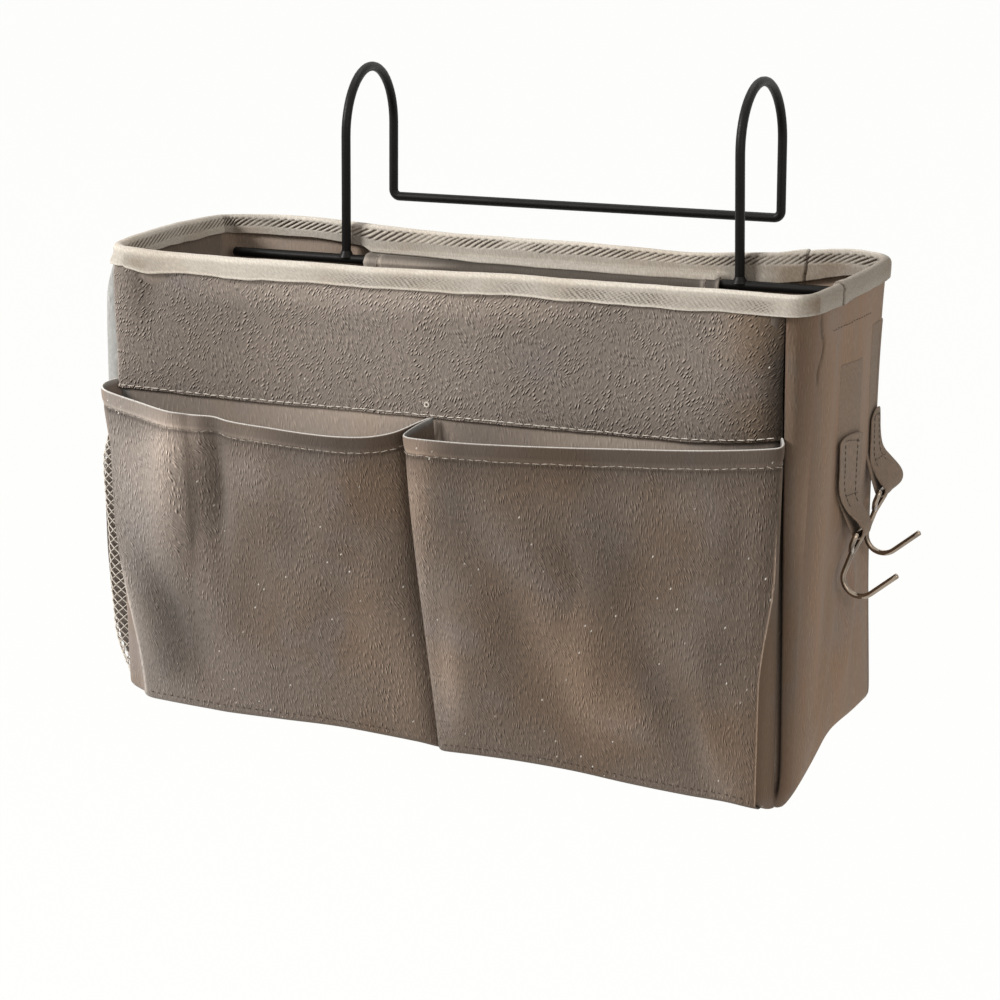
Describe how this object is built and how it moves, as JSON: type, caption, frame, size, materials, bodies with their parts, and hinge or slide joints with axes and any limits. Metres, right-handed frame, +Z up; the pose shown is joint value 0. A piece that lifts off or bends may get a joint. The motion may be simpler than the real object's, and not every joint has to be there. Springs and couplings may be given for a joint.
{
  "type": "hanging caddy",
  "caption": "Soft canvas caddy with pleated front pockets, a net side pocket, swinging side hooks and a folding wire hanger that hooks over a rail.",
  "frame": {"origin": "middle of the base's underside", "axes": "+X to the bag's right seen from the front, +Y to the back and the rail, +Z up"},
  "size_m": [0.3289, 0.1579, 0.252],
  "materials": {
    "canvas": "taupe linen-look canvas, matt",
    "tape": "cream cotton twill tape",
    "net": "cream diamond net",
    "board": "grey fibreboard",
    "black_wire": "black powder coat, satin",
    "plated_wire": "bright nickel plate"
  },
  "bodies": {
    "bag": {"base_panel": "canvas", "front_lower_panel": "canvas", "front_upper_panel": "canvas", "back_panel": "canvas", "left_side_panel": "canvas", "right_side_panel": "canvas", "left_front_pocket": "canvas", "right_front_pocket": "canvas", "rod_sleeve": "canvas", "front_strap": "canvas", "rear_strap": "canvas", "rim_tape": "tape", "mesh_pocket_band": "tape", "mesh_pocket_net": "net", "base_board": "board"},
    "hanger": {"support_rod": "black_wire", "hanger_wire": "black_wire"},
    "front_hook": {"front_side_hook": "plated_wire"},
    "rear_hook": {"rear_side_hook": "plated_wire"}
  },
  "joints": [
    {"name": "hanger_fold", "type": "hinge", "parent": "bag", "child": "hanger", "pos_m": [0, 0.0425, 0.171], "axis": [1, 0, 0], "range_deg": [0, 80]},
    {"name": "front_hook_swing", "type": "hinge", "parent": "bag", "child": "front_hook", "pos_m": [0.15209, 0.004, 0.0845], "axis": [0, -1, 0], "range_deg": [-5, 100]},
    {"name": "rear_hook_swing", "type": "hinge", "parent": "bag", "child": "rear_hook", "pos_m": [0.15248, 0.035, 0.0945], "axis": [0, -1, 0], "range_deg": [-5, 100]}
  ]
}
